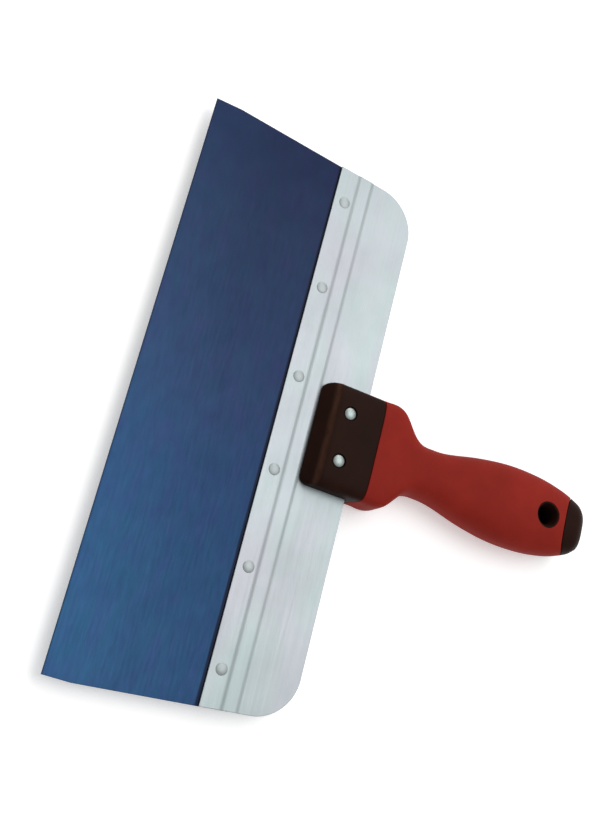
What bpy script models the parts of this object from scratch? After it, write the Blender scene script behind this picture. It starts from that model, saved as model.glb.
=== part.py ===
"""Twelve-inch drywall taping knife: a flat spring-steel blade, a ribbed
galvanised backing plate riveted over it, and a two-shot handle (hard core with
a soft sleeve) riveted on to the plate. Lengths in metres.

Tool frame: +X along the blade, +Y from the working edge to the butt, +Z up out
of the plate. The root empty tips the tool so that it lies at rest on the
underside of the block and of the palm swell, with the blade clear of the ground.
"""
import math
import bpy
import bmesh
from mathutils import Matrix

MM = 0.001

# ---- blade ------------------------------------------------------------
BLADE_LEN = 304.8
BLADE_T = 0.5
EDGE_STRAIGHT = 14.4
TAPER = math.radians(5.4)
BLADE_BACK_Y = 91.0
# ---- backing plate ----------------------------------------------------
PLATE_FRONT_Y = 76.2
PLATE_BACK_Y = 123.7
PLATE_T = 0.8
PLATE_Z0 = 0.3
PLATE_CORNER_R = 21.0
RIB_Y = 91.4
RIB_W = 10.8
RIB_CREST_W = 5.2
RIB_H = 0.5
# ---- blade rivets -----------------------------------------------------
BLADE_RIVETS = 6
BLADE_PITCH = 50.8
BLADE_RIVET_Y = 82.5
BLADE_SHANK_R = 1.5
BLADE_HEAD_R = 3.0
BLADE_HEAD_H = 0.6
# ---- handle -----------------------------------------------------------
ZC = 0.7
HALF_W = 27.8
HALF_T = 11.6
NOSE_Y = 96.2
NOSE_TOP_Y = 102.4
STEP_Y = 129.5
CAP_Y = 254.6
CAP_BOW = 7.5
SEAM_RAKE = 4.2
BUTT_Y = 262.3
SLEEVE_T = 2.5
GAP = 0.3
SLOT_H = 1.4
SLOT_END_Y = 124.3
HOLE_Y = 235.6
HOLE_R = 5.0
BOSS_R = 6.85
HANDLE_RIVET_X = 12.8
HANDLE_RIVET_Y = 110.8
HANDLE_SHANK_R = 2.0
HANDLE_HEAD_R = 3.1
RECESS_R = 3.8
RECESS_D = 1.1

for o in list(bpy.data.objects):
    bpy.data.objects.remove(o, do_unlink=True)
scene = bpy.context.scene
parts = bpy.data.collections.new("taping_knife")
cutters = bpy.data.collections.new("cutters")
scene.collection.children.link(parts)
scene.collection.children.link(cutters)


def material(name, rgb, rough, metal):
    m = bpy.data.materials.new(name)
    m.use_nodes = True
    b = m.node_tree.nodes["Principled BSDF"]
    b.inputs["Base Color"].default_value = (rgb[0], rgb[1], rgb[2], 1.0)
    b.inputs["Roughness"].default_value = rough
    b.inputs["Metallic"].default_value = metal
    return m


MAT = {
    "blued_steel": ((0.035, 0.075, 0.17), 0.35, 0.9),
    "galvanised_steel": ((0.58, 0.62, 0.65), 0.42, 0.9),
    "rivet_steel": ((0.62, 0.65, 0.67), 0.35, 0.9),
    "rivet_aluminium": ((0.78, 0.82, 0.82), 0.3, 0.95),
    "core_plastic": ((0.022, 0.010, 0.008), 0.45, 0.0),
    "grip_rubber": ((0.26, 0.022, 0.016), 0.6, 0.0),
}


def add(name, mesh, slot, coll=parts, smooth=False):
    ob = bpy.data.objects.new(name, mesh)
    coll.objects.link(ob)
    if coll is cutters:
        ob.hide_render = True
        ob.display_type = "WIRE"
    else:
        rgb, rough, metal = MAT[slot]
        mesh.materials.clear()
        mesh.materials.append(material(name + "_" + slot, rgb, rough, metal))
    if smooth:
        for f in mesh.polygons:
            f.use_smooth = True
        mesh.set_sharp_from_angle(angle=math.radians(32))
    return ob


def fillet(pts, radii, steps=6):
    """Round the corners of a closed plan outline."""
    out = []
    n = len(pts)
    for i in range(n):
        p0, p, p1 = pts[i - 1], pts[i], pts[(i + 1) % n]
        r = radii[i]
        if r <= 0:
            out.append(p)
            continue
        a = (p0[0] - p[0], p0[1] - p[1])
        b = (p1[0] - p[0], p1[1] - p[1])
        la, lb = math.hypot(*a), math.hypot(*b)
        a = (a[0] / la, a[1] / la)
        b = (b[0] / lb, b[1] / lb)
        half = math.acos(max(-1.0, min(1.0, a[0] * b[0] + a[1] * b[1]))) / 2
        d = r / math.tan(half)
        m = (a[0] + b[0], a[1] + b[1])
        lm = math.hypot(*m)
        c = (p[0] + m[0] / lm * r / math.sin(half), p[1] + m[1] / lm * r / math.sin(half))
        s = (p[0] + a[0] * d - c[0], p[1] + a[1] * d - c[1])
        e = (p[0] + b[0] * d - c[0], p[1] + b[1] * d - c[1])
        t0 = math.atan2(s[1], s[0])
        dt = math.atan2(e[1], e[0]) - t0
        dt = (dt + math.pi) % (2 * math.pi) - math.pi
        for k in range(steps + 1):
            t = t0 + dt * k / steps
            out.append((c[0] + r * math.cos(t), c[1] + r * math.sin(t)))
    return out


def half_len(y):
    """Half length of the steel at y: square ends, then the taper."""
    return BLADE_LEN / 2 - math.tan(TAPER) * max(0.0, y - EDGE_STRAIGHT)


def outline_mesh(name, outline, thick, matrix):
    """Flat outline as a filled, extruded 2D curve, turned into a welded mesh."""
    cu = bpy.data.curves.new(name + "_outline", "CURVE")
    cu.dimensions = "2D"
    cu.fill_mode = "BOTH"
    cu.extrude = thick / 2 * MM
    sp = cu.splines.new("POLY")
    sp.points.add(len(outline) - 1)
    for pt, (u, v) in zip(sp.points, outline):
        pt.co = (u * MM, v * MM, 0.0, 1.0)
    sp.use_cyclic_u = True
    ob = bpy.data.objects.new(name + "_outline", cu)
    ob.matrix_world = matrix
    scene.collection.objects.link(ob)
    bpy.context.view_layer.update()
    me = bpy.data.meshes.new_from_object(ob.evaluated_get(bpy.context.evaluated_depsgraph_get()))
    me.name = name
    bpy.data.objects.remove(ob, do_unlink=True)
    bm = bmesh.new()
    bm.from_mesh(me)
    bmesh.ops.remove_doubles(bm, verts=bm.verts, dist=1e-6)
    bmesh.ops.dissolve_limit(bm, angle_limit=0.001, verts=bm.verts, edges=bm.edges)
    bm.transform(matrix)
    bmesh.ops.recalc_face_normals(bm, faces=bm.faces)
    bm.to_mesh(me)
    bm.free()
    return me


def sheet(name, outline, z0, z1):
    """Flat sheet with a plan outline between two heights."""
    return outline_mesh(name, outline, z1 - z0, Matrix.Translation((0, 0, (z0 + z1) / 2 * MM)))


def cylinder(name, x, y, r, z0, z1, seg):
    bm = bmesh.new()
    bmesh.ops.create_cone(bm, cap_ends=True, segments=seg, radius1=r * MM, radius2=r * MM,
                          depth=(z1 - z0) * MM,
                          matrix=Matrix.Translation((x * MM, y * MM, (z0 + z1) / 2 * MM)))
    me = bpy.data.meshes.new(name)
    bm.to_mesh(me)
    bm.free()
    return add(name, me, None, cutters)


def cut(target, tool, op="DIFFERENCE"):
    m = target.modifiers.new(tool.name, "BOOLEAN")
    m.operation = op
    m.solver = "EXACT"
    m.object = tool


def lathe(name, prof, seg, x, y, slot):
    """Turned solid: a profile of (r, z) from the top of the axis to its foot, with a Screw modifier."""
    me = bpy.data.meshes.new(name)
    pts = [(r * MM, 0.0, z * MM) for r, z in prof]
    me.from_pydata(pts, [(k, k + 1) for k in range(len(pts) - 1)], [])
    ob = add(name, me, slot)
    ob.location = (x * MM, y * MM, 0.0)
    m = ob.modifiers.new("turn", "SCREW")
    m.axis = "Z"
    m.angle = 2 * math.pi
    m.steps = m.render_steps = seg
    m.use_merge_vertices = True
    m.merge_threshold = 0.00001
    m.use_smooth_shade = True
    return ob


def dome(r, h, z, steps=4):
    """Domed head: points from the crown down to the rim at (r, z)."""
    return [(r * math.sin(math.pi / 2 * k / steps), z + h * math.cos(math.pi / 2 * k / steps))
            for k in range(steps + 1)]


# ---- handle form: half width, half thickness, squareness along Y --------
def hermite(keys, y):
    """Smooth curve through (y, value, slope) keys."""
    if y <= keys[0][0]:
        return keys[0][1]
    for (y0, v0, s0), (y1, v1, s1) in zip(keys[:-1], keys[1:]):
        if y <= y1:
            h = y1 - y0
            s = (y - y0) / h
            return ((2 * s ** 3 - 3 * s ** 2 + 1) * v0 + (s ** 3 - 2 * s ** 2 + s) * h * s0
                    + (-2 * s ** 3 + 3 * s ** 2) * v1 + (s ** 3 - s ** 2) * h * s1)
    return keys[-1][1]


WIDTH = [(STEP_Y, HALF_W, 0.0), (138.5, 27.9, -0.22), (144.5, 24.5, -1.08), (151.0, 17.2, -0.88),
         (165.0, 13.7, 0.0), (192.0, 18.9, 0.19), (218.0, 21.9, 0.0), (240.0, 20.1, -0.2),
         (253.5, 16.2, -0.45), (259.0, 13.4, -0.85), (BUTT_Y, 10.7, -0.85)]
THICK = [(135.0, HALF_T, 0.0), (165.0, 11.0, 0.0), (215.0, 13.2, 0.0), (240.0, 12.8, -0.04),
         (254.0, 11.8, -0.2), (BUTT_Y, 6.5, -1.3)]
SQUARE = [(NOSE_TOP_Y, 7.0, 0.0), (138.0, 6.5, -0.05), (160.0, 2.7, 0.0), (250.0, 2.5, 0.0),
          (BUTT_Y, 2.8, 0.0)]
AXIS_Z = [(175.0, ZC, 0.0), (BUTT_Y, ZC + 1.0, 0.0)]


def bow(y):
    """How far the ring at y leans forward at the crown, which bows the sleeve's rear seam."""
    if y >= CAP_Y:
        return CAP_BOW * (BUTT_Y - y) / (BUTT_Y - CAP_Y)
    s = max(0.0, (y - 222.0) / (CAP_Y - 222.0))
    return CAP_BOW * s * s * (3 - 2 * s)


def crown(up):
    """Share of the lean at a height: 0 at the sides, level there, and 1 at the crown."""
    return (math.hypot(up, 0.5) - 0.5) / (math.hypot(1.0, 0.5) - 0.5)


def nose(y):
    """Front wedge of the block: half thickness and half width at y."""
    s = max(0.0, min(1.0, (y - NOSE_Y) / (NOSE_TOP_Y + 1.0 - NOSE_Y)))
    t = 2.0 + (HALF_T - 2.0) * min(1.0, s * 1.12 - 0.12 * s ** 6)
    w = HALF_W - 4.2 * (1.0 - math.sqrt(max(0.0, 1.0 - (1.0 - min(1.0, (y - NOSE_Y) / 5.0)) ** 2)))
    return t, w


def seam_rake(y):
    """How far the ring at y runs forward on the underside, so that the front seam slants down the sides."""
    if y <= STEP_Y:
        s = max(0.0, (y - 110.0) / (STEP_Y - 110.0))
    else:
        s = max(0.0, (148.0 - y) / (148.0 - STEP_Y))
    return SEAM_RAKE * s * s * (3 - 2 * s)


def section(y, inset, seg):
    """Closed superellipse ring round the handle at y, leaning forward by bow(y) and seam_rake(y)."""
    lean = bow(y)
    rake = seam_rake(y)
    ring = []
    for k in range(seg):
        t = 2 * math.pi * (k + 0.5) / seg
        c, s = math.cos(t), math.sin(t)
        n = hermite(SQUARE, y)
        up = abs(s) * (abs(c) ** n + abs(s) ** n) ** (-1.0 / n)
        yk = y - lean * crown(up) - rake * (1 - math.copysign(up, s)) / 2
        if yk < NOSE_TOP_Y + 1.0:
            b, a = nose(yk)
        else:
            a, b = hermite(WIDTH, yk), hermite(THICK, yk)
        n = hermite(SQUARE, yk)
        r = (abs(c) ** n + abs(s) ** n) ** (-1.0 / n)
        ring.append(((a - inset) * r * c, yk, hermite(AXIS_Z, yk) + (b - inset) * r * s))
    return ring


def loft(name, rings, seg, slot, closed=False):
    """Skin through (y, inset) rings; closed joins the last ring to the first."""
    bm = bmesh.new()
    rows = [[bm.verts.new((p[0] * MM, p[1] * MM, p[2] * MM)) for p in section(y, inset, seg)] for y, inset in rings]
    pairs = list(zip(rows[:-1], rows[1:]))
    if closed:
        pairs.append((rows[-1], rows[0]))
    for a, b in pairs:
        for k in range(seg):
            j = (k + 1) % seg
            bm.faces.new((a[k], a[j], b[j], b[k]))
    if not closed:
        bm.faces.new(rows[0][::-1])
        bm.faces.new(rows[-1])
    bmesh.ops.recalc_face_normals(bm, faces=bm.faces)
    me = bpy.data.meshes.new(name)
    bm.to_mesh(me)
    bm.free()
    return add(name, me, slot, parts, True)


def span(y0, y1, step):
    n = max(1, int(round((y1 - y0) / step)))
    return [y0 + (y1 - y0) * i / n for i in range(n + 1)]


rivet_xs = [(k - (BLADE_RIVETS - 1) / 2) * BLADE_PITCH for k in range(BLADE_RIVETS)]

# ---- blade --------------------------------------------------------------
outline = fillet([(-half_len(0), 0), (half_len(0), 0), (half_len(EDGE_STRAIGHT), EDGE_STRAIGHT),
                  (half_len(BLADE_BACK_Y), BLADE_BACK_Y), (-half_len(BLADE_BACK_Y), BLADE_BACK_Y),
                  (-half_len(EDGE_STRAIGHT), EDGE_STRAIGHT)], [0.6, 0.6, 0, 1.5, 1.5, 0], 3)
blade = add("blade", sheet("blade", outline, -BLADE_T, 0.0), "blued_steel")
for i, x in enumerate(rivet_xs):
    cut(blade, cylinder("blade_hole_%d" % (i + 1), x, BLADE_RIVET_Y, BLADE_SHANK_R + GAP, -3, 3, 16))

# ---- backing plate ------------------------------------------------------
ys = [PLATE_FRONT_Y - 4, RIB_Y - RIB_W / 2 - 1.5]
ys += [RIB_Y + RIB_W / 2 * k / 5 for k in range(-5, 6)]
ys += [RIB_Y + RIB_W / 2 + 1.5, PLATE_BACK_Y + 4]


def rib(y):
    s = (RIB_W / 2 - abs(y - RIB_Y)) / (RIB_W / 2 - RIB_CREST_W / 2)
    s = max(0.0, min(1.0, s))
    return RIB_H * s * s * (3 - 2 * s)


XR = BLADE_LEN / 2 + 5
strip = [(y, PLATE_Z0 + rib(y)) for y in ys] + [(y, PLATE_Z0 + PLATE_T + rib(y)) for y in reversed(ys)]
along_x = Matrix(((0, 0, 1, 0), (1, 0, 0, 0), (0, 1, 0, 0), (0, 0, 0, 1)))
me = outline_mesh("backing_plate", strip, 2 * XR, along_x)
plate = add("backing_plate", me, "galvanised_steel")
outline = fillet([(-half_len(PLATE_FRONT_Y), PLATE_FRONT_Y), (half_len(PLATE_FRONT_Y), PLATE_FRONT_Y),
                  (half_len(PLATE_BACK_Y), PLATE_BACK_Y), (-half_len(PLATE_BACK_Y), PLATE_BACK_Y)],
                 [0.8, 0.8, PLATE_CORNER_R, PLATE_CORNER_R], 12)
trim = add("plate_trim", sheet("plate_trim", outline, -6, 8), None, cutters)
cut(plate, trim, "INTERSECT")
for i, x in enumerate(rivet_xs):
    cut(plate, cylinder("plate_hole_%d" % (i + 1), x, BLADE_RIVET_Y, BLADE_SHANK_R + GAP, -4, 4, 16))
for i, sx in enumerate((-1, 1)):
    cut(plate, cylinder("plate_handle_hole_%d" % (i + 1), sx * HANDLE_RIVET_X, HANDLE_RIVET_Y,
                        HANDLE_SHANK_R + GAP, -4, 4, 16))

# ---- blade rivets ---------------------------------------------------------
head_z = PLATE_Z0 + PLATE_T + GAP
tail_z = -BLADE_T - GAP
for i, x in enumerate(rivet_xs):
    prof = dome(BLADE_HEAD_R, BLADE_HEAD_H, head_z + 0.15)
    prof += [(BLADE_HEAD_R, head_z), (BLADE_SHANK_R, head_z), (BLADE_SHANK_R, tail_z),
             (2.3, tail_z), (2.3, tail_z - 0.25), (1.7, tail_z - 0.6), (0.0, tail_z - 0.6)]
    lathe("blade_rivet_%d" % (i + 1), prof, 20, x, BLADE_RIVET_Y, "rivet_steel")

# ---- handle core ----------------------------------------------------------
SEG = 36
TANG_IN = SLEEVE_T + GAP
NOSE_LEN = NOSE_TOP_Y + 1.0 - NOSE_Y
nose_ys = [NOSE_Y + NOSE_LEN * q for q in (0.0, 0.08, 0.2, 0.4, 0.65, 0.85, 0.93, 1.0)]
grip_ys = [133.5] + span(137.0, 161.0, 3.0) + span(166.0, 249.0, 7.0)
rings = [(y, 0.0) for y in nose_ys + [STEP_Y]]
rings += [(y, TANG_IN) for y in [STEP_Y] + grip_ys + [CAP_Y]]
rings += [(y, 0.0) for y in span(CAP_Y, BUTT_Y, 1.4)]
core = loft("handle_core", rings, SEG, "core_plastic")
top_z = hermite(AXIS_Z, HOLE_Y) + hermite(THICK, 241.0) - 0.35
bot_z = hermite(AXIS_Z, HOLE_Y) - hermite(THICK, 241.0) + 0.35
boss = cylinder("core_boss", 0, HOLE_Y, BOSS_R, bot_z, top_z, 32)
cut(core, boss, "UNION")
bm = bmesh.new()
bmesh.ops.create_cube(bm, size=1.0, matrix=Matrix.Translation((0, (NOSE_Y - 10 + SLOT_END_Y) / 2 * MM, ZC * MM))
                      @ Matrix.Diagonal((80 * MM, (SLOT_END_Y - NOSE_Y + 10) * MM, SLOT_H * MM, 1)))
me = bpy.data.meshes.new("slot")
bm.to_mesh(me)
bm.free()
cut(core, add("slot", me, None, cutters))
cut(core, cylinder("hang_hole", 0, HOLE_Y, HOLE_R, -30, 30, 32))
seat_top = ZC + HALF_T - RECESS_D
seat_bot = ZC - HALF_T + RECESS_D
for i, sx in enumerate((-1, 1)):
    x = sx * HANDLE_RIVET_X
    cut(core, cylinder("core_rivet_hole_%d" % (i + 1), x, HANDLE_RIVET_Y, HANDLE_SHANK_R + GAP, -30, 30, 20))
    cut(core, cylinder("recess_top_%d" % (i + 1), x, HANDLE_RIVET_Y, RECESS_R, seat_top, seat_top + 6, 24))
    cut(core, cylinder("recess_bottom_%d" % (i + 1), x, HANDLE_RIVET_Y, RECESS_R, seat_bot - 6, seat_bot, 24))

# ---- grip sleeve ------------------------------------------------------------
ys = [STEP_Y + GAP] + grip_ys + [CAP_Y - GAP]
grip = loft("grip_sleeve", [(y, 0.0) for y in ys] + [(y, SLEEVE_T) for y in reversed(ys)], SEG, "grip_rubber", True)
cut(grip, cylinder("grip_boss_hole", 0, HOLE_Y, BOSS_R + GAP, -40, 40, 32))

# ---- handle rivets ------------------------------------------------------------
for i, sx in enumerate((-1, 1)):
    zt, zb = seat_top + GAP, seat_bot - GAP
    prof = dome(HANDLE_HEAD_R, 0.9, zt + 0.3)
    prof += [(HANDLE_HEAD_R, zt), (HANDLE_SHANK_R, zt), (HANDLE_SHANK_R, zb), (HANDLE_HEAD_R, zb)]
    prof += [(r, 2 * ZC - z) for r, z in reversed(dome(HANDLE_HEAD_R, 0.6, zt + 0.3))]
    lathe("handle_rivet_%d" % (i + 1), prof, 24, sx * HANDLE_RIVET_X, HANDLE_RIVET_Y, "rivet_aluminium")

# ---- rest pose: the block's underside and the palm swell touch the ground -------
PALM_Y = 215.0
FOOT_Y = NOSE_TOP_Y + 1.0
palm_z = hermite(AXIS_Z, PALM_Y) - hermite(THICK, PALM_Y)
foot_z = ZC - HALF_T
tip = math.atan2(foot_z - palm_z, PALM_Y - FOOT_Y)
butt_low = hermite(AXIS_Z, BUTT_Y) - hermite(THICK, BUTT_Y)
y_far = BUTT_Y * math.cos(tip) - butt_low * math.sin(tip)
root = bpy.data.objects.new("knife_root", None)
parts.objects.link(root)
root.rotation_euler = (tip, 0, 0)
root.location = (0, -y_far / 2 * MM, -(PALM_Y * math.sin(tip) + palm_z * math.cos(tip)) * MM)
for ob in list(parts.objects) + list(cutters.objects):
    if ob is not root:
        ob.parent = root
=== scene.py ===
"""Looks for the drywall taping knife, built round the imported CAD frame."""
import math

import bmesh
import bpy
import numpy as np
from mathutils import Matrix, Vector


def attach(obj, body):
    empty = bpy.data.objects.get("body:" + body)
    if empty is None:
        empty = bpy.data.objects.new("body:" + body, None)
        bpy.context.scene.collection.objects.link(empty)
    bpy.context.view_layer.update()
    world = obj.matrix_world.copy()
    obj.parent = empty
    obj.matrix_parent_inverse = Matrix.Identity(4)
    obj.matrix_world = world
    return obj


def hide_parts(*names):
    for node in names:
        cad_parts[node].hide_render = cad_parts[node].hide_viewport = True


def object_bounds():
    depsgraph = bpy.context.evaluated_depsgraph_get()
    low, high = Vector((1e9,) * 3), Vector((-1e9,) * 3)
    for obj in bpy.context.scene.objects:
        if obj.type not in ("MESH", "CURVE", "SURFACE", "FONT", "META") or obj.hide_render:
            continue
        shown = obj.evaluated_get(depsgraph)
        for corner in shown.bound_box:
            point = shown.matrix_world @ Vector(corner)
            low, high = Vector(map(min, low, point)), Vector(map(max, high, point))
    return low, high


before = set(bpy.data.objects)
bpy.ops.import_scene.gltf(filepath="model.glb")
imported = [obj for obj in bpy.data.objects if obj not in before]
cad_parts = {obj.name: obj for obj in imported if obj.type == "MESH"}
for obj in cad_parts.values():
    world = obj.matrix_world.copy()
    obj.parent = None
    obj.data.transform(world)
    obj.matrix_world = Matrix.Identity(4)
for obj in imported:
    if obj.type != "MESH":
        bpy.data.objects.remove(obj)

MM = 0.001
CAD_BOX = [[float(c) for c in p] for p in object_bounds()]
scene = bpy.context.scene

# ---------------------------------------------------------------- dimensions (mm, tool frame)
BLADE_LEN = 304.8
BLADE_T = 0.5
EDGE_STRAIGHT = 14.4
TAPER = math.radians(5.4)
BLADE_BACK_Y = 91.0
PLATE_FRONT_Y = 76.2
PLATE_BACK_Y = 123.7
PLATE_T = 0.8
PLATE_Z0 = 0.3
PLATE_CORNER_R = 21.0
RIB_Y = 91.4
RIB_W = 10.8
RIB_CREST_W = 5.2
RIB_H = 0.5
BLADE_PITCH = 50.8
BLADE_RIVET_Y = 82.5
ZC = 0.7
HALF_W = 27.8
HALF_T = 11.6
NOSE_Y = 96.2
NOSE_TOP_Y = 102.4
STEP_Y = 129.5
CAP_Y = 254.6
CAP_BOW = 7.5
SEAM_RAKE = 4.2
BUTT_Y = 262.3
SLEEVE_T = 2.5
GAP = 0.3
SLOT_H = 1.4
SLOT_END_Y = 124.3
HOLE_Y = 235.6
HOLE_R = 5.0
BOSS_R = 6.85
HANDLE_RIVET_X = 12.8
HANDLE_RIVET_Y = 110.8
HANDLE_HEAD_R = 3.1
RECESS_R = 3.8
RECESS_D = 1.1

WIDTH = [(STEP_Y, HALF_W, 0.0), (138.5, 27.9, -0.22), (144.5, 24.5, -1.08), (151.0, 17.2, -0.88),
         (165.0, 13.7, 0.0), (192.0, 18.9, 0.19), (218.0, 21.9, 0.0), (240.0, 20.1, -0.2),
         (253.5, 16.2, -0.45), (259.0, 13.4, -0.85), (BUTT_Y, 10.7, -0.85)]
THICK = [(135.0, HALF_T, 0.0), (165.0, 11.0, 0.0), (215.0, 13.2, 0.0), (240.0, 12.8, -0.04),
         (254.0, 11.8, -0.2), (BUTT_Y, 6.5, -1.3)]
SQUARE = [(NOSE_TOP_Y, 7.0, 0.0), (138.0, 6.5, -0.05), (160.0, 2.7, 0.0), (250.0, 2.5, 0.0),
          (BUTT_Y, 2.8, 0.0)]
AXIS_Z = [(175.0, ZC, 0.0), (BUTT_Y, ZC + 1.0, 0.0)]


def hermite(keys, y):
    if y <= keys[0][0]:
        return keys[0][1]
    for (y0, v0, s0), (y1, v1, s1) in zip(keys[:-1], keys[1:]):
        if y <= y1:
            h = y1 - y0
            s = (y - y0) / h
            return ((2 * s ** 3 - 3 * s ** 2 + 1) * v0 + (s ** 3 - 2 * s ** 2 + s) * h * s0
                    + (-2 * s ** 3 + 3 * s ** 2) * v1 + (s ** 3 - s ** 2) * h * s1)
    return keys[-1][1]


# rest pose of the tool frame, as the CAD root empty has it
palm_z = hermite(AXIS_Z, 215.0) - hermite(THICK, 215.0)
tip = math.atan2(ZC - HALF_T - palm_z, 215.0 - (NOSE_TOP_Y + 1.0))
butt_low = hermite(AXIS_Z, BUTT_Y) - hermite(THICK, BUTT_Y)
y_far = BUTT_Y * math.cos(tip) - butt_low * math.sin(tip)
REST = (Matrix.Translation((0, -y_far / 2 * MM, -(215.0 * math.sin(tip) + palm_z * math.cos(tip)) * MM))
        @ Matrix.Rotation(tip, 4, "X"))


# ---------------------------------------------------------------- node material helpers
def new_mat(name):
    m = bpy.data.materials.new(name)
    m.use_nodes = True
    nt = m.node_tree
    return m, nt, nt.nodes["Principled BSDF"]


def node(nt, kind, **props):
    n = nt.nodes.new(kind)
    for k, v in props.items():
        setattr(n, k, v)
    return n


def tool_coords(nt, scale=(1, 1, 1)):
    """Metres along the tool: X along the blade, Y from the edge to the butt, Z up."""
    tc = node(nt, "ShaderNodeTexCoord")
    back = node(nt, "ShaderNodeMapping", vector_type="TEXTURE")
    back.inputs["Location"].default_value = REST.to_translation()
    back.inputs["Rotation"].default_value = (tip, 0, 0)
    nt.links.new(tc.outputs["Object"], back.inputs["Vector"])
    if tuple(scale) == (1, 1, 1):
        return back.outputs["Vector"]
    mp = node(nt, "ShaderNodeMapping")
    mp.inputs["Scale"].default_value = scale
    nt.links.new(back.outputs["Vector"], mp.inputs["Vector"])
    return mp.outputs["Vector"]


def noise(nt, vec, scale, detail=4.0, rough=0.55, distortion=0.0):
    n = node(nt, "ShaderNodeTexNoise")
    n.inputs["Scale"].default_value = scale
    n.inputs["Detail"].default_value = detail
    n.inputs["Roughness"].default_value = rough
    n.inputs["Distortion"].default_value = distortion
    nt.links.new(vec, n.inputs["Vector"])
    return n.outputs["Fac"]


def ramp(nt, fac, stops, interp="LINEAR"):
    r = node(nt, "ShaderNodeValToRGB")
    r.color_ramp.interpolation = interp
    els = r.color_ramp.elements
    while len(els) < len(stops):
        els.new(0.5)
    for e, (pos, col) in zip(els, stops):
        e.position = pos
        e.color = (col[0], col[1], col[2], 1.0) if len(col) == 3 else col
    nt.links.new(fac, r.inputs["Fac"])
    return r.outputs["Color"]


def map_range(nt, fac, a, b, c, d, clamp=True):
    m = node(nt, "ShaderNodeMapRange")
    m.clamp = clamp
    m.inputs["From Min"].default_value = a
    m.inputs["From Max"].default_value = b
    m.inputs["To Min"].default_value = c
    m.inputs["To Max"].default_value = d
    nt.links.new(fac, m.inputs["Value"])
    return m.outputs["Result"]


def math_node(nt, op, a, b):
    m = node(nt, "ShaderNodeMath", operation=op)
    for sock, v in zip(m.inputs, (a, b)):
        if isinstance(v, (int, float)):
            sock.default_value = v
        else:
            nt.links.new(v, sock)
    return m.outputs[0]


def mix_col(nt, fac, a, b, blend="MIX"):
    m = node(nt, "ShaderNodeMix", data_type="RGBA", blend_type=blend)
    for sock, v in ((m.inputs[0], fac), (m.inputs[6], a), (m.inputs[7], b)):
        if isinstance(v, (int, float)):
            sock.default_value = v
        elif isinstance(v, tuple):
            sock.default_value = (v[0], v[1], v[2], 1.0)
        else:
            nt.links.new(v, sock)
    return m.outputs[2]


def bump(nt, bsdf, height, strength, distance, prev=None):
    b = node(nt, "ShaderNodeBump")
    b.inputs["Strength"].default_value = strength
    b.inputs["Distance"].default_value = distance
    nt.links.new(height, b.inputs["Height"])
    if prev is not None:
        nt.links.new(prev, b.inputs["Normal"])
    nt.links.new(b.outputs["Normal"], bsdf.inputs["Normal"])
    return b.outputs["Normal"]


def separate(nt, vec):
    s = node(nt, "ShaderNodeSeparateXYZ")
    nt.links.new(vec, s.inputs[0])
    return s.outputs


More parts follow.
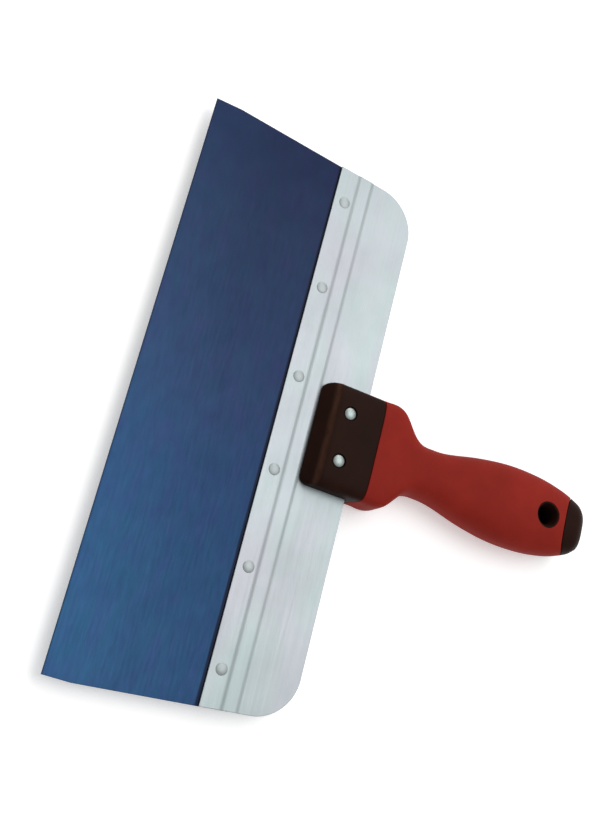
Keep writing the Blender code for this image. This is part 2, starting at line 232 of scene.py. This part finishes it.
# ---------------------------------------------------------------- materials
def blued_steel():
    m, nt, b = new_mat("blued_steel")
    pos = tool_coords(nt)
    xyz = separate(nt, pos)
    along = map_range(nt, xyz[0], -0.1524, 0.1524, 0.0, 1.0)
    across = map_range(nt, xyz[1], 0.0, 0.0762, 0.0, 1.0)
    # painted reflection: the blue is the steel's own temper colour, but its run from deep navy at one end to a clearer
    # blue at the other stands in for the light the steel reflects
    base = ramp(nt, along, [(0.04, (0.0108, 0.0182, 0.048)), (0.19, (0.0130, 0.0240, 0.056)), (0.34, (0.0140, 0.0265, 0.063)),
                            (0.50, (0.0155, 0.0320, 0.076)), (0.66, (0.0150, 0.0388, 0.094)), (0.81, (0.0158, 0.0478, 0.108)),
                            (0.96, (0.0190, 0.0560, 0.126))])
    # painted reflection: the blade is made brighter near the working edge and darker towards its back
    reflection_across = ramp(nt, across, [(0.04, (1.18, 1.30, 1.26)), (0.5, (1.0, 1.0, 1.0)), (1.0, (0.84, 0.82, 0.86))])
    base = mix_col(nt, 1.0, base, reflection_across, "MULTIPLY")
    streak = noise(nt, tool_coords(nt, (9, 90, 90)), 8.0, 6.0, 0.62)
    fine = noise(nt, tool_coords(nt, (40, 1100, 1100)), 2.2, 3.0, 0.6)
    cloud = noise(nt, pos, 70.0, 5.0, 0.65)
    k = math_node(nt, "ADD", math_node(nt, "MULTIPLY", streak, 0.5), math_node(nt, "MULTIPLY", cloud, 0.5))
    tint = ramp(nt, k, [(0.3, (0.80, 0.83, 0.86)), (0.5, (1.0, 1.0, 1.0)), (0.7, (1.22, 1.15, 1.10))])
    base = mix_col(nt, 1.0, base, tint, "MULTIPLY")
    # purple and teal drift of heat-blued steel
    hue = noise(nt, tool_coords(nt, (1, 2.5, 1)), 55.0, 3.0, 0.55, 0.5)
    base = mix_col(nt, 1.0, base, ramp(nt, hue, [(0.33, (0.93, 1.06, 1.0)), (0.5, (1.0, 1.0, 1.0)), (0.67, (1.12, 0.93, 1.02))]), "MULTIPLY")
    # painted shade: the working edge of the blade is darkened to deep navy in place of the light its rim would reflect
    base = mix_col(nt, map_range(nt, xyz[1], 0.0003, 0.0011, 0.5, 0.0), base, (0.008, 0.012, 0.026))
    # painted shadow: a dark band on the top of the blade along the front edge of the backing plate, its edge wavered by
    # noise, standing in for the shadow the plate casts
    plate_shadow = noise(nt, tool_coords(nt, (1, 0.2, 1)), 60.0, 3.0, 0.5)
    reach = math_node(nt, "ADD", map_range(nt, along, 0.0, 1.0, 0.0754, 0.0746), math_node(nt, "MULTIPLY", plate_shadow, -0.0004))
    edge = math_node(nt, "SUBTRACT", xyz[1], reach)
    on_top = map_range(nt, xyz[2], -0.0003, -0.0001, 0.0, 1.0)
    plate_shadow = math_node(nt, "MULTIPLY", map_range(nt, edge, -0.0004, 0.0003, 0.0, 0.85), on_top)
    base = mix_col(nt, plate_shadow, base, (0.006, 0.006, 0.012))
    nt.links.new(base, b.inputs["Base Color"])
    b.inputs["Metallic"].default_value = 0.92
    nt.links.new(map_range(nt, streak, 0.3, 0.7, 0.34, 0.48), b.inputs["Roughness"])
    b.inputs["Anisotropic"].default_value = 0.35
    bump(nt, b, fine, 0.12, 0.00003)
    return m


def galvanised():
    m, nt, b = new_mat("galvanised_steel")
    pos = tool_coords(nt)
    streak = noise(nt, tool_coords(nt, (5, 300, 300)), 5.0, 6.0, 0.62)
    fine = noise(nt, tool_coords(nt, (25, 1500, 1500)), 3.0, 3.0, 0.6)
    cloud = noise(nt, pos, 35.0, 4.0, 0.55)
    hue = noise(nt, tool_coords(nt, (1, 2.2, 1)), 18.0, 2.0, 0.5, 0.4)
    base = ramp(nt, streak, [(0.25, (0.320, 0.354, 0.370)), (0.5, (0.361, 0.397, 0.415)), (0.75, (0.402, 0.441, 0.461))])
    tone = ramp(nt, hue, [(0.32, (0.955, 1.02, 0.985)), (0.5, (1.0, 1.0, 1.0)), (0.68, (1.045, 0.975, 1.01))])
    base = mix_col(nt, 1.0, base, tone, "MULTIPLY")
    shade = ramp(nt, cloud, [(0.3, (0.93, 0.93, 0.93)), (0.7, (1.06, 1.06, 1.06))])
    base = mix_col(nt, 1.0, base, shade, "MULTIPLY")
    nt.links.new(base, b.inputs["Base Color"])
    b.inputs["Metallic"].default_value = 0.75
    nt.links.new(map_range(nt, streak, 0.3, 0.7, 0.38, 0.52), b.inputs["Roughness"])
    b.inputs["Anisotropic"].default_value = 0.3
    bump(nt, b, fine, 0.15, 0.00003)
    return m


def rivet_metal(name, col, rough, metal):
    m, nt, b = new_mat(name)
    n = noise(nt, tool_coords(nt), 900.0, 4.0, 0.6)
    base = ramp(nt, n, [(0.3, tuple(c * 0.9 for c in col)), (0.7, tuple(min(1.0, c * 1.08) for c in col))])
    nt.links.new(base, b.inputs["Base Color"])
    b.inputs["Metallic"].default_value = metal
    nt.links.new(map_range(nt, n, 0.3, 0.7, rough - 0.05, rough + 0.08), b.inputs["Roughness"])
    bump(nt, b, n, 0.15, 0.00003)
    return m


def core_plastic():
    m, nt, b = new_mat("core_plastic")
    pos = tool_coords(nt)
    n = noise(nt, pos, 60.0, 4.0, 0.6)
    grain = noise(nt, pos, 2600.0, 2.0, 0.5)
    base = ramp(nt, n, [(0.3, (0.0150, 0.0056, 0.0038)), (0.7, (0.0215, 0.0082, 0.0052))])
    xyz = separate(nt, pos)
    # painted highlight: a lighter brown band along the nose ridge near y = 102 mm, on the upper part only, broken up by
    # noise
    off = math_node(nt, "ABSOLUTE", math_node(nt, "SUBTRACT", xyz[1], 0.1020), 0.0)
    ridge_highlight = math_node(nt, "MULTIPLY", map_range(nt, off, 0.0004, 0.0017, 1.0, 0.0),
                     map_range(nt, noise(nt, tool_coords(nt, (1, 3, 1)), 120.0, 3.0, 0.6), 0.35, 0.6, 0.45, 1.0))
    ridge_highlight = math_node(nt, "MULTIPLY", ridge_highlight, map_range(nt, xyz[2], 0.004, 0.009, 0.0, 0.8))
    base = mix_col(nt, ridge_highlight, base, (0.062, 0.027, 0.017))
    nt.links.new(base, b.inputs["Base Color"])
    nt.links.new(map_range(nt, n, 0.3, 0.7, 0.42, 0.52), b.inputs["Roughness"])
    b.inputs["Specular IOR Level"].default_value = 0.035
    bump(nt, b, grain, 0.25, 0.00005)
    return m


def grip_rubber():
    m, nt, b = new_mat("grip_rubber")
    pos = tool_coords(nt)
    n = noise(nt, pos, 45.0, 4.0, 0.6)
    grain = noise(nt, pos, 2200.0, 3.0, 0.55)
    base = ramp(nt, n, [(0.3, (0.216, 0.0155, 0.0099)), (0.5, (0.240, 0.0180, 0.0119)), (0.72, (0.268, 0.0212, 0.0138))])
    nt.links.new(base, b.inputs["Base Color"])
    nt.links.new(map_range(nt, n, 0.3, 0.7, 0.55, 0.66), b.inputs["Roughness"])
    b.inputs["Specular IOR Level"].default_value = 0.05
    bump(nt, b, grain, 0.3, 0.00006)
    return m


STEEL = blued_steel()
GALV = galvanised()
RIVET = rivet_metal("rivet_steel", (0.320, 0.352, 0.355), 0.44, 0.8)
ALU = rivet_metal("rivet_aluminium", (0.325, 0.375, 0.367), 0.42, 0.9)
CORE = core_plastic()
GRIP = grip_rubber()


# ---------------------------------------------------------------- mesh helpers
def finish_mesh(name, bm, mat, sharp=35.0, smooth=True):
    bmesh.ops.recalc_face_normals(bm, faces=bm.faces)
    bm.transform(Matrix.Scale(MM, 4))
    me = bpy.data.meshes.new(name)
    bm.to_mesh(me)
    bm.free()
    me.materials.append(mat)
    if smooth:
        for f in me.polygons:
            f.use_smooth = True
        me.set_sharp_from_angle(angle=math.radians(sharp))
    ob = bpy.data.objects.new(name, me)
    scene.collection.objects.link(ob)
    return ob


def evaluate(ob, keep=True):
    """Apply the modifiers of ob to its mesh."""
    bpy.context.view_layer.update()
    me = bpy.data.meshes.new_from_object(ob.evaluated_get(bpy.context.evaluated_depsgraph_get()))
    old = ob.data
    ob.modifiers.clear()
    ob.data = me
    me.name = ob.name
    bpy.data.meshes.remove(old)
    return ob


def boolean(ob, tools, op="DIFFERENCE"):
    for t in tools:
        m = ob.modifiers.new(t.name, "BOOLEAN")
        m.operation = op
        m.solver = "EXACT"
        m.object = t


def cutter_cyl(name, x, y, r, z0, z1, seg=64, r2=None):
    bm = bmesh.new()
    bmesh.ops.create_cone(bm, cap_ends=True, segments=seg, radius1=r, radius2=r if r2 is None else r2, depth=z1 - z0,
                          matrix=Matrix.Translation((x, y, (z0 + z1) / 2)))
    return finish_mesh(name, bm, CORE, smooth=False)


def drop(objs):
    for o in objs:
        me = o.data
        bpy.data.objects.remove(o, do_unlink=True)
        if me.users == 0:
            bpy.data.meshes.remove(me)


def done(ob, nodes):
    """Lay the finished piece down in its rest pose and hand it to the frame."""
    ob.data.transform(REST)
    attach(ob, "root")
    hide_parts(*nodes)
    return ob


def half_len(y):
    return BLADE_LEN / 2 - math.tan(TAPER) * max(0.0, y - EDGE_STRAIGHT)


def linspace(a, b, n):
    return [a + (b - a) * i / (n - 1) for i in range(n)]


# ---------------------------------------------------------------- blade
def grid_sheet(name, ys, half, z_of, t, mat, nx=60, rim=0.12, steps=4):
    """Thin sheet: a row across at each y from -half(y) to half(y), thickness t, with a rounded rim all round."""
    bm = bmesh.new()
    cols = [-1.0, -0.9965] + [2 * i / nx - 1 for i in range(1, nx)] + [0.9965, 1.0]
    last_r, last_c = len(ys) - 1, len(cols) - 1
    plan = [[(half(y) * u, y) for u in cols] for y in ys]
    loop = [(0, c) for c in range(last_c)] + [(r, last_c) for r in range(last_r)]
    loop += [(last_r, c) for c in range(last_c, 0, -1)] + [(r, 0) for r in range(last_r, 0, -1)]
    outward = {}
    for k, (r, c) in enumerate(loop):
        (ax, ay), (bx, by) = [plan[loop[m % len(loop)][0]][loop[m % len(loop)][1]] for m in (k - 1, k + 1)]
        n = Vector((by - ay, ax - bx)).normalized()
        outward[(r, c)] = n
    faces = []
    for z_off in (t, 0.0):
        rows = []
        for r, y in enumerate(ys):
            row = []
            for c in range(len(cols)):
                px, py = plan[r][c]
                if (r, c) in outward:
                    px -= outward[(r, c)].x * rim
                    py -= outward[(r, c)].y * rim
                row.append(bm.verts.new((px, py, z_of(y) + z_off)))
            rows.append(row)
        faces.append(rows)
        for r in range(last_r):
            for c in range(last_c):
                quad = (rows[r][c], rows[r][c + 1], rows[r + 1][c + 1], rows[r + 1][c])
                bm.faces.new(quad if z_off else quad[::-1])
    rings = [[faces[0][r][c] for r, c in loop]]
    for k in range(1, 2 * steps + 1):
        a = math.pi / 2 * min(k, steps) / steps if k <= steps else math.pi / 2 * (2 * steps + 1 - k) / steps
        drop_z = rim * (1 - math.cos(a))
        ring = []
        for r, c in loop:
            px, py = plan[r][c]
            n = outward[(r, c)]
            zz = z_of(ys[r])
            z = zz + t - drop_z if k <= steps else zz + drop_z
            ring.append(bm.verts.new((px - n.x * rim * (1 - math.sin(a)), py - n.y * rim * (1 - math.sin(a)), z)))
        rings.append(ring)
    rings.append([faces[1][r][c] for r, c in loop])
    for a, b in zip(rings[:-1], rings[1:]):
        for k in range(len(loop)):
            m = (k + 1) % len(loop)
            bm.faces.new((a[k], b[k], b[m], a[m]))
    return finish_mesh(name, bm, mat, sharp=60)


ys = [0.0, 0.5] + linspace(3.0, EDGE_STRAIGHT, 4) + linspace(20.0, 88.0, 14) + [BLADE_BACK_Y - 0.5, BLADE_BACK_Y]
blade = grid_sheet("blade_sheet", ys, half_len, lambda y: -BLADE_T, BLADE_T, STEEL, nx=40, rim=0.1)
done(blade, ["blade"])


# ---------------------------------------------------------------- backing plate
def rib(y):
    s = (RIB_W / 2 - abs(y - RIB_Y)) / (RIB_W / 2 - RIB_CREST_W / 2)
    s = max(0.0, min(1.0, s))
    return RIB_H * s * s * (3 - 2 * s)


def plate_half(y):
    w = half_len(y)
    back = y - (PLATE_BACK_Y - PLATE_CORNER_R)
    if back > 0:
        w -= PLATE_CORNER_R - math.sqrt(max(0.0, PLATE_CORNER_R ** 2 - back ** 2))
    return w


ys = [PLATE_FRONT_Y, PLATE_FRONT_Y + 0.5] + linspace(79.0, 85.6, 4) + linspace(RIB_Y - RIB_W / 2, RIB_Y + RIB_W / 2, 25)
ys += linspace(97.2, PLATE_BACK_Y - PLATE_CORNER_R, 4)
ys += [PLATE_BACK_Y - PLATE_CORNER_R + PLATE_CORNER_R * math.sin(math.pi / 2 * k / 16) for k in range(1, 17)]
plate = grid_sheet("plate_sheet", ys, plate_half, lambda y: PLATE_Z0 + rib(y), PLATE_T, GALV, nx=80, rim=0.16)
done(plate, ["backing_plate"])


# ---------------------------------------------------------------- turned rivets
def turned(name, prof, seg, x, y, mat):
    """Turned solid through a smooth list of (r, z)."""
    bm = bmesh.new()
    rings = []
    for r, z in prof:
        if r < 1e-6:
            rings.append([bm.verts.new((x, y, z))])
        else:
            rings.append([bm.verts.new((x + r * math.cos(2 * math.pi * k / seg), y + r * math.sin(2 * math.pi * k / seg), z))
                          for k in range(seg)])
    for a, b in zip(rings[:-1], rings[1:]):
        for k in range(seg):
            j = (k + 1) % seg
            if len(a) == 1:
                bm.faces.new((a[0], b[k], b[j]))
            elif len(b) == 1:
                bm.faces.new((a[j], a[k], b[0]))
            else:
                bm.faces.new((a[j], a[k], b[k], b[j]))
    return finish_mesh(name, bm, mat, sharp=50)


def dome(r, h, z, steps=10, flat=0.0):
    out = [(r * math.sin(math.pi / 2 * k / steps), z + h * math.cos(math.pi / 2 * k / steps)) for k in range(steps + 1)]
    return out


def low_dome(r, h, z, steps=14):
    """Flattened head: most of its curve is near the rim."""
    out = []
    for k in range(steps + 1):
        a = math.pi / 2 * k / steps
        out.append((r * math.sin(a) ** 0.8, z + h * (0.55 * math.cos(a) + 0.45 * math.cos(a) ** 3)))
    return out


plate_top = PLATE_Z0 + PLATE_T
tail_z = -BLADE_T - GAP
for i in range(6):
    x = (i - 2.5) * BLADE_PITCH
    prof = low_dome(3.05, 0.45, plate_top + 0.06)
    prof += [(3.05, plate_top - 0.02), (1.5, plate_top - 0.02), (1.5, tail_z), (2.2, tail_z), (2.3, tail_z - 0.1), (2.2, tail_z - 0.3),
             (1.7, tail_z - 0.55), (0.9, tail_z - 0.6), (0.0, tail_z - 0.6)]
    done(turned("blade_rivet_head_%d" % (i + 1), prof, 48, x, BLADE_RIVET_Y, RIVET), ["blade_rivet_%d" % (i + 1)])

seat_top = ZC + HALF_T - RECESS_D
for i, sx in enumerate((-1, 1)):
    zt = seat_top + GAP
    half_prof = low_dome(HANDLE_HEAD_R, 0.8, zt + 0.3) + [(HANDLE_HEAD_R, zt + 0.1), (HANDLE_HEAD_R - 0.15, zt), (2.0, zt)]
    low = [(r, 2 * ZC - (z if z < zt + 0.3 else zt + 0.3 + (z - zt - 0.3) * 2 / 3)) for r, z in reversed(half_prof)]
    done(turned("handle_rivet_head_%d" % (i + 1), half_prof + low, 56, sx * HANDLE_RIVET_X, HANDLE_RIVET_Y, ALU),
         ["handle_rivet_%d" % (i + 1)])


# ---------------------------------------------------------------- handle
def bow(y):
    if y >= CAP_Y:
        return CAP_BOW * (BUTT_Y - y) / (BUTT_Y - CAP_Y)
    s = max(0.0, (y - 222.0) / (CAP_Y - 222.0))
    return CAP_BOW * s * s * (3 - 2 * s)


def crown(up):
    """Share of the lean at a height: 0 at the sides, level there, and 1 at the crown."""
    return (math.hypot(up, 0.5) - 0.5) / (math.hypot(1.0, 0.5) - 0.5)


def nose(y):
    s = max(0.0, min(1.0, (y - NOSE_Y) / (NOSE_TOP_Y + 1.0 - NOSE_Y)))
    t = 2.0 + (HALF_T - 2.0) * min(1.0, s * 1.12 - 0.12 * s ** 6)
    w = HALF_W - 4.2 * (1.0 - math.sqrt(max(0.0, 1.0 - (1.0 - min(1.0, (y - NOSE_Y) / 5.0)) ** 2)))
    return t, w


def seam_rake(y):
    """How far the ring at y runs forward on the underside, so that the front seam slants down the sides."""
    if y <= STEP_Y:
        s = max(0.0, (y - 110.0) / (STEP_Y - 110.0))
    else:
        s = max(0.0, (148.0 - y) / (148.0 - STEP_Y))
    return SEAM_RAKE * s * s * (3 - 2 * s)


def section(y, inset, seg):
    lean = bow(y)
    rake = seam_rake(y)
    ring = []
    for k in range(seg):
        t = 2 * math.pi * (k + 0.5) / seg
        c, s = math.cos(t), math.sin(t)
        n = hermite(SQUARE, y)
        up = abs(s) * (abs(c) ** n + abs(s) ** n) ** (-1.0 / n)
        yk = y - lean * crown(up) - rake * (1 - math.copysign(up, s)) / 2
        if yk < NOSE_TOP_Y + 1.0:
            b, a = nose(yk)
        else:
            a, b = hermite(WIDTH, yk), hermite(THICK, yk)
        n = hermite(SQUARE, yk)
        r = (abs(c) ** n + abs(s) ** n) ** (-1.0 / n)
        ring.append(((a - inset) * r * c, yk, hermite(AXIS_Z, yk) + (b - inset) * r * s))
    return ring


def skin(name, rings, seg, mat, closed=False, sharp=35.0):
    bm = bmesh.new()
    rows = [[bm.verts.new(p) for p in section(y, inset, seg)] for y, inset in rings]
    pairs = list(zip(rows[:-1], rows[1:]))
    if closed:
        pairs.append((rows[-1], rows[0]))
    for a, b in pairs:
        for k in range(seg):
            j = (k + 1) % seg
            bm.faces.new((a[k], a[j], b[j], b[k]))
    if not closed:
        bm.faces.new(rows[0][::-1])
        bm.faces.new(rows[-1])
    return finish_mesh(name, bm, mat, sharp)


def spaced(y0, y1, step):
    n = max(1, int(math.ceil((y1 - y0) / step)))
    return [y0 + (y1 - y0) * i / n for i in range(n + 1)]


SEG = 144
EDGE_R = 0.35


def rounded_end(y, side, r=EDGE_R, n=4):
    """Ring (y, inset) pairs that round an outer edge at y; side -1 starts an edge, +1 ends it."""
    out = []
    for k in range(n + 1):
        a = math.pi / 2 * k / n
        out.append((y - side * r * (1 - math.sin(a)), r * (1 - math.cos(a))))
    return out if side > 0 else out[::-1]


TANG_IN = SLEEVE_T + GAP
rings = [(y, 0.0) for y in spaced(NOSE_Y, NOSE_TOP_Y + 1.0, 0.35)]
rings += [(y, 0.0) for y in spaced(NOSE_TOP_Y + 1.0, STEP_Y - EDGE_R, 3.0)[1:-1]]
rings += rounded_end(STEP_Y, 1)
rings += [(STEP_Y, TANG_IN)] + [(y, TANG_IN) for y in spaced(STEP_Y, CAP_Y, 4.0)[1:]]
cap_start = rounded_end(CAP_Y, -1)
rings += cap_start + [(y, 0.0) for y in spaced(CAP_Y + EDGE_R, BUTT_Y - 0.6, 0.6)[1:]] + rounded_end(BUTT_Y, 1, 0.6, 6)
core = skin("handle_core_body", rings, SEG, CORE, sharp=40)
top_z = hermite(AXIS_Z, HOLE_Y) + hermite(THICK, 241.0) - 0.35
bot_z = hermite(AXIS_Z, HOLE_Y) - hermite(THICK, 241.0) + 0.35
boss = cutter_cyl("boss", 0, HOLE_Y, BOSS_R, bot_z, top_z, 96)
boolean(core, [boss], "UNION")
bm = bmesh.new()
bmesh.ops.create_cube(bm, size=1.0, matrix=Matrix.Translation((0, (NOSE_Y - 10 + SLOT_END_Y) / 2, ZC))
                      @ Matrix.Diagonal((80, SLOT_END_Y - NOSE_Y + 10, SLOT_H, 1)))
tools = [finish_mesh("slot_tool", bm, CORE, smooth=False),
         cutter_cyl("hang_tool", 0, HOLE_Y, HOLE_R, -30, 30, 96),
         cutter_cyl("hang_flare_top", 0, HOLE_Y, HOLE_R - 0.2, top_z - 3.4, top_z + 0.3, 96, HOLE_R + 1.45),
         cutter_cyl("hang_flare_bottom", 0, HOLE_Y, HOLE_R + 1.45, bot_z - 0.3, bot_z + 3.4, 96, HOLE_R - 0.2)]
seat_bot = ZC - HALF_T + RECESS_D
for i, sx in enumerate((-1, 1)):
    x = sx * HANDLE_RIVET_X
    tools += [cutter_cyl("shank_tool_%d" % i, x, HANDLE_RIVET_Y, 2.3, -30, 30, 48),
              cutter_cyl("seat_top_%d" % i, x, HANDLE_RIVET_Y, RECESS_R, seat_top, seat_top + 6, 64),
              cutter_cyl("seat_bottom_%d" % i, x, HANDLE_RIVET_Y, RECESS_R, seat_bot - 6, seat_bot, 64)]
boolean(core, tools)
evaluate(core)
drop(tools + [boss])
done(core, ["handle_core"])

y0, y1 = STEP_Y + GAP, CAP_Y - GAP
outer = rounded_end(y0, -1) + [(y, 0.0) for y in spaced(y0 + EDGE_R, y1 - EDGE_R, 1.5)[1:-1]] + rounded_end(y1, 1)
inner = [(y, SLEEVE_T) for y in reversed(spaced(y0, y1, 4.0))]
grip = skin("grip_sleeve_body", outer + inner, SEG, GRIP, closed=True, sharp=40)
tool = cutter_cyl("boss_tool", 0, HOLE_Y, BOSS_R + GAP, -40, 40, 96)
boolean(grip, [tool])
evaluate(grip)
drop([tool])
done(grip, ["grip_sleeve"])

for ob in (core, grip):
    for f in ob.data.polygons:
        f.use_smooth = True
    ob.data.set_sharp_from_angle(angle=math.radians(38))

# ---------------------------------------------------------------- camera
cam_data = bpy.data.cameras.new("camera")
cam_data.lens = 58.04
cam_data.sensor_width = 36.0
cam_data.clip_start = 0.01
cam_data.clip_end = 50.0
cam = bpy.data.objects.new("camera", cam_data)
scene.collection.objects.link(cam)
eye = Vector((0.197769, -0.138076, 0.596136))
aim = Vector((-0.010706, 0.090637, 0.0))
look = (aim - eye).normalized()
up = Vector((-0.920044, -0.342465, 0.190359))
right = look.cross(up).normalized()
up = right.cross(look)
turn = Matrix((right, up, -look)).transposed().to_4x4()
cam.matrix_world = REST @ Matrix.Translation(eye) @ turn
scene.camera = cam

# ---------------------------------------------------------------- floor and light
floor_mat, fnt, fb = new_mat("floor_paper")
fn = noise(fnt, tool_coords(fnt), 6.0, 3.0, 0.5)
fnt.links.new(ramp(fnt, fn, [(0.3, (0.90, 0.90, 0.90)), (0.7, (0.93, 0.93, 0.93))]), fb.inputs["Base Color"])
fb.inputs["Roughness"].default_value = 0.9
fb.inputs["Emission Color"].default_value = (1.0, 1.0, 1.0, 1.0)
fb.inputs["Emission Strength"].default_value = 0.36
fb.inputs["Specular IOR Level"].default_value = 0.1
bm = bmesh.new()
bmesh.ops.create_grid(bm, x_segments=8, y_segments=8, size=14.0)
floor_me = bpy.data.meshes.new("floor")
bm.to_mesh(floor_me)
bm.free()
floor_me.materials.append(floor_mat)
floor = bpy.data.objects.new("floor", floor_me)
floor.location = (0, 0, CAD_BOX[0][2] - 0.0001)
scene.collection.objects.link(floor)

world = bpy.data.worlds.new("studio")
world.use_nodes = True
wnt = world.node_tree
sky = separate(wnt, node(wnt, "ShaderNodeTexCoord").outputs["Generated"])
wnt.links.new(ramp(wnt, sky[2], [(0.02, (0.80, 0.80, 0.80)), (0.30, (0.49, 0.49, 0.49))], "EASE"),
              wnt.nodes["Background"].inputs["Color"])
wnt.nodes["Background"].inputs["Strength"].default_value = 1.0
scene.world = world


def area(name, direction, dist, size, power, colour=(1, 1, 1)):
    ld = bpy.data.lights.new(name, "AREA")
    ld.shape = "DISK"
    ld.size = size
    ld.energy = power
    ld.color = colour
    ob = bpy.data.objects.new(name, ld)
    d = Vector(direction).normalized()
    ob.location = d * dist
    ob.rotation_mode = "QUATERNION"
    ob.rotation_quaternion = d.to_track_quat("Z", "Y")
    scene.collection.objects.link(ob)
    return ob


area("overhead", (-0.24, 0.30, 0.92), 2.2, 1.8, 20.0)
area("side", (-0.84, 0.10, 0.53), 2.2, 1.6, 14.0)

scene.view_settings.view_transform = "Standard"
scene.view_settings.look = "None"
